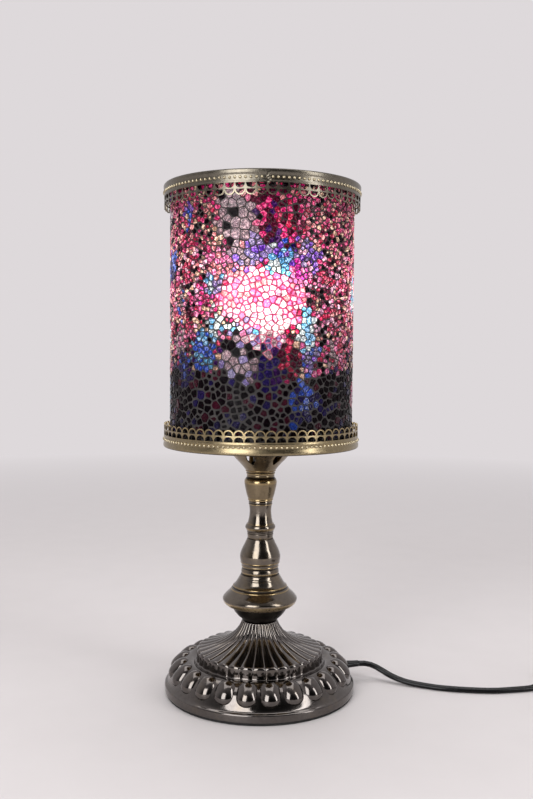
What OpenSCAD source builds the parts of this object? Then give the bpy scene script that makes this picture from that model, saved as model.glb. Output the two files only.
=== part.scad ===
// Mosaic glass table lamp: turned and pressed metal foot, cylinder shade between two lace rims.
// All sizes in millimetres. Origin on the table, on the lamp's axis. +Z up, the front faces -Y.

/* [Base] */
// Outside diameter of the foot
base_d = 132; // [110:1:160]
// Thickness of the pad under the foot
pad_t = 1.8; // [1:0.2:3]
// Height of the plain band around the foot, above the pad
band_h = 5.4; // [4:0.2:8]
// Wall thickness of the pressed foot
base_wall = 1.8; // [1.2:0.1:2.4]
// Height of the top of the foot, where the stem stands
base_top_z = 49.4; // [44:0.2:56]
// Step in from the foot's edge to the scalloped tier
tier_step = 22.2; // [20:0.2:26]
// Height of the edge of the scalloped tier
tier_z = 29.6; // [28:0.2:33]
// Number of scallops around the tier
tier_count = 32; // [24:1:40]
// Number of egg-shaped lobes around the foot
lobe_count = 24; // [18:1:30]
// Step in from the foot's edge to the cast-iron ballast ring
ballast_step = 22; // [18:1:27]
// Thickness of the ballast ring
ballast_t = 8; // [5:0.5:9]

/* [Stem] */
// Outside diameter of the threaded tube
tube_d = 10; // [9:0.5:12]
// Bore of the threaded tube
tube_bore = 7.4; // [7:0.1:8]
// Clearance of the turned pieces around the tube
tube_gap = 0.2; // [0.1:0.05:0.4]
// Height of the inverted bowl
bowl_h = 10.4; // [8:0.2:14]
// Height of the flared disc
disc_h = 22.9; // [19:0.1:26]
// Diameter of the flared disc
disc_d = 51.8; // [44:0.2:62]
// Height of the vase
vase_h = 24.6; // [20:0.2:30]
// Diameter of the vase
vase_d = 28; // [24:0.5:34]
// Height of the flared collar
collar_h = 9.8; // [8:0.2:12]
// Height of the waisted neck
neck_h = 16.2; // [13:0.2:20]
// Height of the knob
knob_h = 16.8; // [14:0.2:22]
// Diameter of the knob
knob_d = 22.6; // [20:0.2:26]
// Height of the pierced cup under the shade
cup_h = 22; // [18:0.5:26]
// Diameter of the pierced cup at its mouth
cup_d = 50; // [42:1:60]
// Number of windows around the pierced cup
cup_windows = 6; // [4:1:10]
// Turn of the first window around the axis, in degrees
cup_turn = 8.4; // [0:0.2:60]

/* [Shade] */
// Outside diameter of the rims
rim_d = 134.4; // [112:0.2:162]
// Height of the shade over both rims
shade_h = 177; // [140:1:220]
// Height of the solid band of each rim
rim_band_h = 8.2; // [6:0.2:10]
// Height of the lace fringe of each rim
lace_h = 8; // [6:0.2:10]
// Thickness of the rim metal
rim_t = 0.8; // [0.6:0.1:1.2]
// Number of scallops around each lace fringe
lace_count = 62; // [48:2:72]
// Gap from the rim band in to the mosaic
rim_gap = 3.4; // [3:0.1:6]
// Thickness of the mosaic layer of glass chips and grout
mosaic_t = 2.3; // [1.5:0.1:3]
// Wall thickness of the glass cylinder
glass_t = 2.6; // [2:0.1:3.5]
// Thickness of the sheet that carries the shade
plate_t = 1; // [0.8:0.1:2]

/* [Lampholder and bulb] */
// Outside diameter of the lampholder
holder_d = 41; // [36:0.5:50]
// Outside diameter of the bulb's screw cap, over its thread
cap_d = 26.1; // [25.8:0.1:26.4]
// Clearance between the screw cap and the lampholder's threaded shell
cap_gap = 0.35; // [0.3:0.05:0.5]
// Diameter of the bulb
bulb_d = 60; // [50:1:64]
// Height of the bulb's housing between its cap and its dome
housing_h = 29.5; // [22:0.5:36]

/* [Cord and switch] */
// Width of the flat twin cord
cord_w = 5.4; // [5:0.1:6]
// Thickness of the flat twin cord
cord_h = 3.2; // [3:0.1:3.6]
// Length of the cord switch
switch_l = 62; // [56:1:70]
// Width of the cord switch
switch_w = 26; // [24:0.5:30]
// Height of the cord switch, without its rocker
switch_h = 16; // [14:0.5:20]
// Throw of the rocker from on to off, in degrees
rocker_throw = 18; // [12:1:20]
// Diameter across the middle of the stored coil's turns
coil_mid_d = 58; // [54:1:66]
// Number of turns side by side in the coil
coil_lanes = 5; // [3:1:6]

/* [Hidden] */

$fn = 96;
eps = 0.01;              // overshoot of a cutter past a face

antique = [0.30, 0.27, 0.25];
brassy = [0.45, 0.38, 0.27];
steel = [0.62, 0.62, 0.63];
black = [0.05, 0.05, 0.05];
copper = [0.72, 0.45, 0.25];

base_r = base_d / 2;
tier_r = base_r - tier_step;
tube_r = tube_d / 2;
bore_r = tube_r + tube_gap;
pad_r = base_r - 1;

// heights of the joints up the stem
bowl_z = base_top_z;
disc_z = bowl_z + bowl_h;
vase_z = disc_z + disc_h;
collar_z = vase_z + vase_h;
neck_z = collar_z + collar_h;
knob_z = neck_z + neck_h;
cup_z = knob_z + knob_h;
shade_z = cup_z + cup_h - rim_t;

// shade
rim_r = rim_d / 2;
rim_face = 0.4;            // how far the band stands back from the rim's rolled edge
shade_top_z = shade_z + shade_h;
plate_z = shade_z + rim_t;
glass_z = plate_z + plate_t;
mosaic_r = rim_r - rim_t - rim_gap;
glass_r = mosaic_r - mosaic_t;
glass_in_r = glass_r - glass_t;
glass_top_z = shade_top_z - rim_t;

// foot
lobe_r = base_r - 13.6;     // circle on which the fat ends of the lobes stand
lobe_z = pad_t + band_h + 9.8;
lobe_pitch = 360 / lobe_count;
lobe_fat_r = 7.6;
scallop_r = 3.2;            // radius of one scallop of the tier
cavity_z = tier_z + 8;      // flat ceiling inside the foot, where the washer seats
washer_t = 1.5;
nut_t = 5;
nut_af = 17;
tube_z = cavity_z - washer_t - nut_t - 3;

// lampholder and bulb, from the shade's plate up
plate_nut_t = 3.5;
holder_z = glass_z + plate_nut_t;
holder_r = holder_d / 2;
holder_cap_h = 13;
terminal_x = 8;             // a terminal's hole, out from the axis
holder_wall = 1.8;
cap_foot_r = 8;             // inside of the cap where it starts to widen
cap_foot_z = 7.4;           // height of that edge above the holder's seat
cap_wide_z = 10.6;          // height at which the inside is at its widest
screw_down = 3.2;           // how far a terminal screw hangs under the insert
terminal_screw_r = 1.9;
screw_share = (holder_cap_h - screw_down - cap_foot_z) / (cap_wide_z - cap_foot_z);
cap_r_at_screw = cap_foot_r + screw_share * (holder_r - holder_wall - 2 - cap_foot_r);
terminal_screw_x = cap_r_at_screw - terminal_screw_r - 0.225;
insert_z = holder_z + holder_cap_h;
insert_t = 4;
contact_z = insert_z + insert_t;
contact_t = 0.6;
bulb_z = contact_z + contact_t + 0.1;
cap_r = cap_d / 2;
shell_in_r = cap_r + cap_gap;
shell_t = 0.5;
shell_h = 22;
bulb_cap_z = bulb_z + 2.6;
bulb_cap_h = 23;
housing_z = bulb_cap_z + bulb_cap_h;
housing_bottom_r = 14.5;
dome_z = housing_z + housing_h;
bulb_r = bulb_d / 2;
dome_sink = bulb_r * 0.55;  // how far the dome's centre stands above its lower edge
dome_edge_r = sqrt(bulb_r * bulb_r - dome_sink * dome_sink);
tube_top_z = holder_z + 7;

// cord: where it leaves the foot
exit_angle = 15;
exit_z = 11.6;
exit_r = base_r - 3;
gland_tip_r = base_r + 8;
gland_in_r = base_r - 12;
cord_in_r = base_r - 5;    // where the cord inside the foot meets the free cord
gland_neck_r = 3.6;
gland_neck_gap = 0.1;      // play of the gland's neck in its hole
gland_tip_wall = 0.5;
cord_bore_r = cord_w / 2 + 0.05;

// The cord's routes and the places of what is on it are counted from a foot whose gland ends at route_tip.
// On another foot they all move with the gland.
route_tip = [71.48, 19.15];
cord_shift = [gland_tip_r * cos(exit_angle) - route_tip[0], gland_tip_r * sin(exit_angle) - route_tip[1], 0];

// route points of the cord, from the gland to the switch
run_route = [
    [58.92, 15.79, 11.6], [63.75, 17.08, 11.6], [67.6, 18.1, 11.6], [71.5, 19.2, 11.5], [76.4, 20, 11.2],
    [81.4, 19.6, 10.2], [86.2, 18.2, 8.3], [90.6, 15.8, 6.2], [96, 12, 4.3], [103, 8, 2.8],
    [110, 5.2, 2], [118, 2, 1.7], [127, -1.6, 1.7], [138, -4, 1.7], [151, -5.8, 1.7],
    [164, -6.2, 1.7], [177, -4.2, 1.7], [190, -1.2, 1.7], [197, 1.6, 2.4], [204, 4.2, 4.4],
    [210, 5.7, 5.7], [216, 6, 6], [224, 6, 6]
];
// from the switch to the coil
link_route = [
    [270, 6, 6], [276, 6, 6], [282, 5.7, 5.7], [288.5, 3.6, 4], [294, -0.6, 2.4], [298.2, -7, 1.8],
    [300, -15, 1.7], [299, -24, 1.7], [295.8, -34, 1.7], [292, -44, 1.7], [290, -52, 1.7]
];
// from the coil to the plug
tail_route = [
    [290, -52, 4.9], [289.8, -60, 4.8], [289.4, -67, 4.9], [289.2, -73, 5.5], [289, -79, 6.4],
    [289, -86, 6.8]
];
// inside the foot and up the tube, as distance from the axis and height
inner_route = [
    [cord_in_r, 11.6], [cord_in_r - 5, 11.6], [48, 12.2], [40, 13.4], [30, 14.6], [20, 15.8],
    [12, 17], [6.4, 18.8], [2.6, 21.6],
    [0.7, 25], [0, 29], [0, 60], [0, 90], [0, 120], [0, 150], [0, 165], [0, 178]
];

switch_x = 217;
switch_y = 6;
switch_split_z = 8;
coil_x = 290 - coil_mid_d / 2 - (coil_lanes - 1) * cord_w / 2;
coil_y = -52;
coil_out_r = coil_mid_d / 2 + coil_lanes * cord_w / 2;
coil_in_r = coil_mid_d / 2 - coil_lanes * cord_w / 2;
coil_h = 2 * cord_h + 0.3;
plug_x = 289;
plug_y = -84;
plug_w = 35.3;
plug_l = 35.5;
plug_t = 13.7;
pin_spread = 18.6;
pin_r = 2;
pin_l = 19;
pin_root_r = 1.5;           // the thinner root moulded into the plug
pin_root_l = 8;

function unit(v) = v / norm(v);
function bezier(a, b, c, n) =
    [for (i = [0 : n]) let (t = i / n) (1 - t) * (1 - t) * a + 2 * t * (1 - t) * b + t * t * c];
function route_tangent(pts, i) =
    unit(pts[min(i + 1, len(pts) - 1)] - pts[max(i - 1, 0)]);
function level_side(t) = unit(cross(t, [0, 0, 1]));
function ring_points(p, t, side, w, h, n) =
    let (up = cross(side, t))
    [for (k = [0 : n - 1]) p + w / 2 * cos(360 * k / n) * side + h / 2 * sin(360 * k / n) * up];

// oval tube along a route; side is fixed on a route that stands in one upright plane
module oval_tube(pts, w, h, n = 12, side = undef) {
    rings = len(pts);
    verts = [
        for (i = [0 : rings - 1])
            let (t = route_tangent(pts, i), s = is_undef(side) ? level_side(t) : side)
                each ring_points(pts[i], t, s, w, h, n)
    ];
    walls = [
        for (i = [0 : rings - 2], k = [0 : n - 1])
            let (a = i * n + k, b = i * n + (k + 1) % n)
                each [[a, b, b + n], [a, b + n, a + n]]
    ];
    first_cap = [for (k = [n - 1 : -1 : 0]) k];
    last_cap = [for (k = [0 : n - 1]) (rings - 1) * n + k];
    polyhedron(points = verts, faces = concat([first_cap], walls, [last_cap]));
}

// a turned piece: outside points from the bottom up, bored for the tube
module turned(outside) {
    bottom = outside[0][1];
    top = outside[len(outside) - 1][1];
    rotate_extrude() polygon(concat([[bore_r, bottom]], outside, [[bore_r, top]]));
}

module ring_tube(r_out, r_in, z, h) {
    translate([0, 0, z]) difference() {
        cylinder(r = r_out, h = h);
        translate([0, 0, -eps]) cylinder(r = r_in, h = h + 2 * eps);
    }
}

module hex_nut(z, t, af) {
    translate([0, 0, z]) difference() {
        cylinder(d = af / cos(30), h = t, $fn = 6);
        translate([0, 0, -eps]) cylinder(r = tube_r + 0.05, h = t + 2 * eps);
    }
}

// ---- foot

module base_pad() {
    color(black) cylinder(r = pad_r, h = pad_t);
}

base_outside = concat(
    [[base_r - 0.3, pad_t], [base_r, pad_t + 0.3], [base_r, pad_t + band_h - 0.6],
     [base_r - 0.6, pad_t + band_h]],
    bezier([base_r - 2, pad_t + band_h + 0.3], [base_r - 5.5, pad_t + band_h + 0.6],
           [base_r - 6.6, pad_t + band_h + 3], 4),
    bezier([base_r - 7.4, pad_t + band_h + 8], [base_r - 9.6, tier_z - 5.4], [base_r - 15, tier_z - 5.2], 5),
    [[tier_r + 2.6, tier_z - 6.4], [tier_r + 0.6, tier_z - 7.2], [tier_r - 0.5, tier_z - 6.6],
     [tier_r - 0.5, tier_z - 0.4], [tier_r - 1, tier_z]],
    bezier([tier_r - 2, tier_z + 0.2], [17.5, tier_z + 5], [13, base_top_z - 1.6], 8),
    [[12.4, base_top_z - 0.6], [11.6, base_top_z]]
);
base_inside = [
    [base_r - base_wall, pad_t], [base_r - base_wall, pad_t + band_h - base_wall],
    [base_r - 7.6, pad_t + band_h], [base_r - 9, pad_t + band_h + 8],
    [base_r - 11.6, tier_z - 7.6], [tier_r + 1, tier_z - 9.4], [tier_r - 2.6, tier_z - 8.6],
    [tier_r - 3.4, tier_z - base_wall], [30, tier_z + 2.2], [18, cavity_z - 1], [14, cavity_z]
];

module base_shell() {
    color(antique) difference() {
        union() {
            rotate_extrude() polygon(concat([[bore_r, pad_t]], base_outside, [[bore_r, base_top_z]]));
            for (i = [0 : lobe_count - 1]) rotate([0, 0, (i + 0.5) * lobe_pitch]) {
                translate([lobe_r, 0, lobe_z]) sphere(r = lobe_fat_r);
            }
            for (i = [0 : tier_count - 1]) rotate([0, 0, i * 360 / tier_count])
                translate([tier_r - scallop_r, 0, tier_z - 6.9]) cylinder(r = scallop_r, h = 5.6);
        }
        rotate_extrude() polygon(concat([[0, pad_t - 1], [base_r - base_wall, pad_t - 1]], base_inside,
                                        [[0, cavity_z]]));
        rotate([0, 0, exit_angle]) translate([gland_in_r - 2, 0, exit_z]) rotate([0, 90, 0])
            cylinder(r = gland_neck_r + gland_neck_gap, h = base_r);
    }
}

module ballast_ring() {
    color([0.25, 0.25, 0.26]) ring_tube(base_r - ballast_step, 16, pad_t, ballast_t);
}

module tube_washer() {
    color(steel) ring_tube(11, bore_r, cavity_z - washer_t, washer_t);
}

module tube_nut() {
    color(steel) hex_nut(cavity_z - washer_t - nut_t, nut_t, nut_af);
}

module cord_gland() {
    neck_in = base_r - 9.8;
    color(black) rotate([0, 0, exit_angle]) translate([0, 0, exit_z]) rotate([0, 90, 0]) rotate_extrude()
        polygon([
            [cord_bore_r, gland_in_r], [gland_neck_r + 1.8, gland_in_r], [gland_neck_r + 1.8, neck_in],
            [gland_neck_r, neck_in], [gland_neck_r, exit_r],
            [cord_bore_r + gland_tip_wall, gland_tip_r], [cord_bore_r, gland_tip_r]
        ]);
}

// ---- stem

module threaded_tube() {
    color(steel) ring_tube(tube_r, tube_bore / 2, tube_z, tube_top_z - tube_z);
}

module stem_bowl() {
    color(antique) turned(concat(
        [[10.6, bowl_z], [11.4, bowl_z + 0.6]],
        bezier([12.2, bowl_z + 1.8], [18.2, bowl_z + 4.4], [19.9, bowl_z + bowl_h - 0.5], 6),
        [[19.5, bowl_z + bowl_h]]
    ));
}

module stem_disc() {
    r = disc_d / 2;
    color(brassy) turned(concat(
        [[r - 4.9, disc_z], [r - 1, disc_z + 0.9]],
        bezier([r, disc_z + 2.2], [r, disc_z + 4.6], [r - 3, disc_z + 7.8], 5),
        bezier([r - 6.4, disc_z + 11.6], [13.6, disc_z + 17], [13, disc_z + disc_h - 0.8], 5),
        [[12.6, disc_z + disc_h]]
    ));
}

module stem_vase() {
    r = vase_d / 2;
    color(antique) turned(concat(
        [[12, vase_z], [12.4, vase_z + 0.6]],
        bezier([12.5, vase_z + 2.6], [r + 1.2, vase_z + 8.4], [r - 0.8, vase_z + 15], 6),
        bezier([r - 2.2, vase_z + 18.4], [9.2, vase_z + 22], [9, vase_z + vase_h], 5)
    ));
}

module stem_collar() {
    color(antique) turned([
        [8.8, collar_z], [9, collar_z + 1], [9.3, collar_z + 4.4], [10, collar_z + 6.6],
        [10.5, collar_z + 7.8], [10.5, collar_z + 8.8], [9.6, collar_z + collar_h]
    ]);
}

module stem_neck() {
    color(antique) turned(concat(
        bezier([8.6, neck_z], [6.5, neck_z + neck_h / 2], [8.2, neck_z + neck_h - 2.6], 8),
        [[8.8, neck_z + neck_h - 1.6], [8.4, neck_z + neck_h - 0.6], [8.2, neck_z + neck_h]]
    ));
}

module stem_knob() {
    r = knob_d / 2;
    color(antique) turned(concat(
        [[8.6, knob_z], [9.3, knob_z + 0.8]],
        bezier([9.6, knob_z + 2.2], [r - 0.4, knob_z + 6.6], [r, knob_z + 11.6], 5),
        [[r - 0.2, knob_z + 13.2], [r - 1, knob_z + 14.4], [9.4, knob_z + knob_h - 0.8],
         [9.2, knob_z + knob_h]]
    ));
}

module pierced_cup() {
    wall = 1.6;
    floor_t = 4;
    r = cup_d / 2;
    color(brassy) difference() {
        rotate_extrude() polygon([
            [bore_r, cup_z], [9.6, cup_z], [10.2, cup_z + 1.4], [12.2, cup_z + 4.6], [15.6, cup_z + 8.6],
            [20.2, cup_z + 13.8], [r - 0.6, cup_z + 19.6], [r, cup_z + cup_h - rim_t],
            [r, cup_z + cup_h], [r - wall - 0.8, cup_z + cup_h], [r - wall - 1.4, cup_z + 19.8],
            [20.2 - wall, cup_z + 14.8], [15.6 - wall, cup_z + 9.8], [12, cup_z + floor_t + 1.6],
            [bore_r, cup_z + floor_t]
        ]);
        for (i = [0 : cup_windows - 1]) rotate([0, 0, cup_turn + i * 360 / cup_windows])
            translate([0, 0, cup_z + 13]) rotate([0, 90, 0]) {
                cylinder(r = 3, h = r + 5);
                translate([2.6, 0, 0]) cylinder(r = 1.8, h = r + 5);
            }
    }
}

// ---- shade

module shade_plate() {
    color(antique) difference() {
        translate([0, 0, plate_z]) cylinder(r = rim_r - rim_face - rim_t - 0.2, h = plate_t);
        translate([0, 0, plate_z - eps]) cylinder(r = bore_r, h = plate_t + 2 * eps);
    }
}

module plate_nut() {
    color(steel) hex_nut(glass_z, plate_nut_t, nut_af);
}

// one rim, standing with its flange at z = 0 and its band upwards
module rim_ring() {
    flange_r = glass_in_r + 1;
    face_r = rim_r - rim_face;
    bead_z = rim_band_h - 2.9;
    rotate_extrude() polygon([
        [flange_r, 0], [rim_r - 0.8, 0], [rim_r, 0.8], [rim_r, 2], [face_r, 2.8],
        [face_r, bead_z - 0.7], [face_r + 0.3, bead_z], [face_r, bead_z + 0.7],
        [face_r, rim_band_h], [face_r - rim_t, rim_band_h], [face_r - rim_t, rim_t], [flange_r, rim_t]
    ]);
}

// one lace fringe, standing on z = 0 with its free edge up: a row of open scallops
module lace_band() {
    r_out = rim_r - rim_face;
    pitch = 360 / lace_count;
    arch_r = PI * r_out / lace_count - 0.9;
    difference() {
        ring_tube(r_out, r_out - rim_t, 0, lace_h);
        for (i = [0 : lace_count - 1]) rotate([0, 0, i * pitch]) {
            translate([r_out - 2, 0, lace_h / 2]) rotate([0, 90, 0]) cylinder(r = arch_r, h = 4);
            rotate([0, 0, pitch / 2]) translate([r_out - 2, 0, lace_h + 0.3]) rotate([0, 90, 0])
                cylinder(r = 1.4, h = 4);
        }
    }
}

module bottom_rim() {
    color(brassy) translate([0, 0, shade_z]) rim_ring();
}

module bottom_lace() {
    color(antique) translate([0, 0, shade_z + rim_band_h]) lace_band();
}

module top_rim() {
    color(antique) translate([0, 0, shade_top_z]) mirror([0, 0, 1]) rim_ring();
}

module top_lace() {
    color(antique) translate([0, 0, shade_top_z - rim_band_h]) mirror([0, 0, 1]) lace_band();
}

module glass_cylinder() {
    color([0.85, 0.88, 0.9, 0.4]) ring_tube(glass_r, glass_in_r, glass_z, glass_top_z - glass_z);
}

module mosaic_layer() {
    color([0.6, 0.1, 0.4]) ring_tube(mosaic_r, glass_r, glass_z, glass_top_z - glass_z);
}

// ---- lampholder

module holder_cap() {
    color(black) rotate_extrude() polygon([
        [tube_r + 0.05, holder_z], [9, holder_z], [9, holder_z + 5], [holder_r - 2, holder_z + 9],
        [holder_r, holder_z + holder_cap_h], [holder_r - holder_wall, holder_z + holder_cap_h],
        [holder_r - holder_wall - 2, holder_z + cap_wide_z], [cap_foot_r, holder_z + cap_foot_z],
        [tube_r + 0.05, holder_z + cap_foot_z]
    ]);
}

module holder_insert() {
    color([0.9, 0.89, 0.85]) translate([0, 0, insert_z]) difference() {
        cylinder(r = holder_r - 2.2, h = insert_t);
        for (side = [-1, 1])
            translate([side * terminal_x, 0, -eps]) cylinder(r = 2.2, h = insert_t + 2 * eps);
    }
}

module holder_sleeve() {
    color(black) ring_tube(holder_r, holder_r - 2, insert_z, shell_h + insert_t + 1);
}

module screw_shell() {
    color(copper) ring_tube(shell_in_r + shell_t, shell_in_r, contact_z, shell_h);
}

module centre_contact() {
    color(copper) translate([0, 0, contact_z + contact_t / 2]) cube([16, 5, contact_t], center = true);
}

module terminal_screws() {
    color(steel) for (side = [-1, 1])
        translate([side * terminal_screw_x, 0, insert_z - screw_down])
            cylinder(r = terminal_screw_r, h = screw_down);
}

// one conductor from the tube's mouth up to its terminal
module terminal_lead(side) {
    top = insert_z + insert_t - 0.2;
    oval_tube([
        [side * 1.4, 0, tube_top_z + 1], [side * 1.4, 0, tube_top_z + 1.8],
        [side * 4.4, 0, tube_top_z + 3.6],
        [side * 7, 0, insert_z - 1.6], [side * terminal_x, 0, insert_z + 0.6], [side * terminal_x, 0, top]
    ], 2.2, 2.2, 8, [0, 1, 0]);
}

module live_lead() {
    color([0.45, 0.27, 0.15]) terminal_lead(1);
}

module neutral_lead() {
    color([0.2, 0.35, 0.7]) terminal_lead(-1);
}

module inner_cable() {
    inner_top = [for (p = inner_route) if (p[1] < tube_top_z - 6) p];
    pts = [
        for (p = concat(inner_top, [[0, tube_top_z + 1]]))
            [p[0] * cos(exit_angle), p[0] * sin(exit_angle), p[1]]
    ];
    color(black) oval_tube(pts, cord_w, cord_h, 12, [-sin(exit_angle), cos(exit_angle), 0]);
}

// ---- bulb

module bulb_contact() {
    color(copper) translate([0, 0, bulb_z]) cylinder(r = 4.2, h = 0.8);
}

module bulb_insulator() {
    color(black) translate([0, 0, bulb_z + 0.8]) cylinder(r1 = 6, r2 = 10, h = 1.8);
}

module bulb_cap() {
    color(steel) translate([0, 0, bulb_cap_z]) difference() {
        cylinder(r = cap_r, h = bulb_cap_h);
        translate([0, 0, 0.6]) cylinder(r = cap_r - 0.6, h = bulb_cap_h);
        translate([0, 0, -eps]) cylinder(r = 9, h = 1);
    }
}

module bulb_housing() {
    wall = 1.6;
    color("white") rotate_extrude() polygon([
        [housing_bottom_r - 3, housing_z], [housing_bottom_r, housing_z],
        [housing_bottom_r + 2, housing_z + 6],
        [dome_edge_r, dome_z], [dome_edge_r - wall, dome_z],
        [housing_bottom_r + 1.4 - wall, housing_z + 6.4],
        [housing_bottom_r - 3, housing_z + 2]
    ]);
}

module driver_board() {
    color([0.1, 0.35, 0.2]) translate([0, 0, housing_z + housing_h / 2 - 3]) {
        translate([-8, -0.8, -13]) cube([16, 1.6, 26]);
        translate([0, -4.9, 2]) cylinder(r = 4, h = 10);
    }
}

module led_board() {
    color([0.9, 0.9, 0.88]) translate([0, 0, dome_z - 1.6]) cylinder(r = dome_edge_r - 3, h = 1.6);
}

module bulb_dome() {
    wall = 1.4;
    color([1, 0.98, 0.92]) difference() {
        translate([0, 0, dome_z + dome_sink]) difference() {
            sphere(r = bulb_r);
            sphere(r = bulb_r - wall);
        }
        translate([0, 0, dome_z - 2 * bulb_r]) cylinder(r = 2 * bulb_r, h = 2 * bulb_r);
    }
}

// ---- cord, switch and plug

module cord_run() {
    color(black) translate(cord_shift) oval_tube(run_route, cord_w, cord_h);
}

module cord_link() {
    color(black) translate(cord_shift) oval_tube(link_route, cord_w, cord_h);
}

module cord_tail() {
    color(black) translate(cord_shift) oval_tube(tail_route, cord_w, cord_h);
}

module cord_coil() {
    color(black) translate(cord_shift) translate([coil_x, coil_y, 0]) difference() {
        cylinder(r = coil_out_r, h = coil_h);
        translate([0, 0, -eps]) cylinder(r = coil_in_r, h = coil_h + 2 * eps);
    }
}

module coil_tie() {
    gap = 0.4;
    band = 1;
    band_w = 6;
    inner_w = coil_out_r - coil_in_r + 2 * gap;
    inner_h = coil_h + gap;
    color([0.15, 0.15, 0.15]) translate(cord_shift)
    translate([coil_x - coil_mid_d / 2, coil_y, 0]) difference() {
        translate([-inner_w / 2 - band, -band_w / 2, 0]) cube([inner_w + 2 * band, band_w, inner_h + band]);
        translate([-inner_w / 2, -band_w, -eps]) cube([inner_w, 2 * band_w, inner_h]);
    }
}

switch_mid_x = switch_x + switch_l / 2;
rocker_l = 22;
rocker_w = 11;
rocker_x = switch_mid_x;
rocker_z = switch_h - 1.2;
rocker_pin_r = 1.2;
screw_x = switch_l / 2 - 9;
screw_y = 8;

// rounded block from z = a to z = b, centred on the switch
module switch_block(l, w, a, b, round) {
    translate([switch_mid_x, switch_y, a]) linear_extrude(b - a) offset(r = round, $fn = 32)
        square([l - 2 * round, w - 2 * round], center = true);
}

module switch_hollow(a, b) {
    translate([switch_mid_x - 15, switch_y - 8, a]) cube([30, 16, b - a]);
}

// the channel that grips the cord through the switch, one cutter for both halves
module switch_cord_way() {
    translate([switch_x - 1, switch_y, 6]) rotate([0, 90, 0])
        cylinder(r = cord_w / 2 + 0.1, h = switch_l + 2);
}

module switch_lower() {
    color(black) translate(cord_shift) difference() {
        switch_block(switch_l, switch_w, 0, switch_split_z, 4);
        switch_hollow(1.8, switch_split_z + 1);
        switch_cord_way();
        for (side = [-1, 1])
            translate([switch_mid_x + side * screw_x, switch_y + screw_y, 2])
                cylinder(r = 1.6, h = switch_h);
    }
}

module switch_upper() {
    color(black) translate(cord_shift) difference() {
        switch_block(switch_l, switch_w, switch_split_z, switch_h, 4);
        switch_hollow(switch_split_z - 1, rocker_z - 4.3);
        translate([rocker_x - rocker_l / 2 - 0.6, switch_y - rocker_w / 2 - 0.4, switch_split_z])
            cube([rocker_l + 1.2, rocker_w + 0.8, switch_h]);
        translate([rocker_x, switch_y - rocker_w / 2 - 2.4, rocker_z - 2]) rotate([-90, 0, 0])
            cylinder(r = rocker_pin_r + 0.08, h = rocker_w + 4.8);
        switch_cord_way();
        for (side = [-1, 1])
            translate([switch_mid_x + side * screw_x, switch_y + screw_y, 0])
                cylinder(r = 1.6, h = switch_h - 3);
    }
}

module switch_screws() {
    color(steel) translate(cord_shift) for (side = [-1, 1])
        translate([switch_mid_x + side * screw_x, switch_y + screw_y, 2.2])
            cylinder(r = 1.5, h = switch_h - 6);
}

module switch_rocker() {
    color([0.08, 0.08, 0.08]) translate(cord_shift) translate([rocker_x, switch_y, rocker_z - 2])
    rotate([0, -rocker_throw / 2, 0]) {
        translate([0, rocker_w / 2, 0]) rotate([90, 0, 0]) linear_extrude(rocker_w) polygon([
            [-rocker_l / 2 + 1.4, -0.5], [rocker_l / 2 - 1.4, -0.5], [rocker_l / 2 - 0.6, 4.6], [0, 3.4],
            [-rocker_l / 2 + 0.6, 4.6]
        ]);
        translate([0, -rocker_w / 2 - 2, 0]) rotate([-90, 0, 0])
            cylinder(r = rocker_pin_r, h = rocker_w + 4);
    }
}

module switch_contacts() {
    color(copper) translate(cord_shift) for (side = [-1, 1])
        translate([switch_mid_x + side * 9 - 2.5, switch_y - 4, 2.4]) cube([5, 8, 1.2]);
}

module plug_body() {
    neck = 6;
    color(black) translate(cord_shift) difference() {
        union() {
            translate([plug_x, plug_y - plug_l, plug_t / 2]) rotate([-90, 0, 0])
            linear_extrude(plug_l - neck) {
                square([plug_w - plug_t, plug_t], center = true);
                for (side = [-1, 1]) translate([side * (plug_w - plug_t) / 2, 0]) circle(d = plug_t);
            }
            translate([plug_x, plug_y - neck - 1, plug_t / 2]) rotate([-90, 0, 0])
                cylinder(r1 = 6, r2 = 4.2, h = neck + 1);
        }
        translate([plug_x, plug_y - neck + 2, plug_t / 2]) rotate([-90, 0, 0])
            cylinder(r = cord_bore_r + 0.05, h = neck);
        for (side = [-1, 1]) translate([plug_x + side * pin_spread / 2, plug_y - plug_l - 1, plug_t / 2])
            rotate([-90, 0, 0]) cylinder(r = pin_root_r, h = pin_root_l + 1);
    }
}

module plug_pins() {
    color(steel) translate(cord_shift) for (side = [-1, 1])
        translate([plug_x + side * pin_spread / 2, plug_y - plug_l - pin_l, plug_t / 2])
        rotate([-90, 0, 0]) {
            cylinder(r = pin_r, h = pin_l);
            cylinder(r = pin_root_r, h = pin_l + pin_root_l);
        }
}

base_pad();
base_shell();
ballast_ring();
tube_washer();
tube_nut();
cord_gland();
threaded_tube();
stem_bowl();
stem_disc();
stem_vase();
stem_collar();
stem_neck();
stem_knob();
pierced_cup();
shade_plate();
plate_nut();
bottom_rim();
bottom_lace();
glass_cylinder();
mosaic_layer();
top_rim();
top_lace();
holder_cap();
holder_sleeve();
holder_insert();
screw_shell();
centre_contact();
terminal_screws();
live_lead();
neutral_lead();
inner_cable();
bulb_contact();
bulb_insulator();
bulb_cap();
bulb_housing();
driver_board();
led_board();
bulb_dome();
cord_run();
switch_lower();
switch_upper();
switch_screws();
switch_rocker();
switch_contacts();
cord_link();
cord_coil();
coil_tie();
cord_tail();
plug_body();
plug_pins();
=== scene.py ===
# Mosaic glass table lamp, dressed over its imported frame.
# The front faces -Y. Sizes are in millimetres and degrees, but camera and lights are placed in metres.
import math
import random

import bmesh
import bpy
from mathutils import Matrix, Vector
from mathutils.geometry import delaunay_2d_cdt


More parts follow.
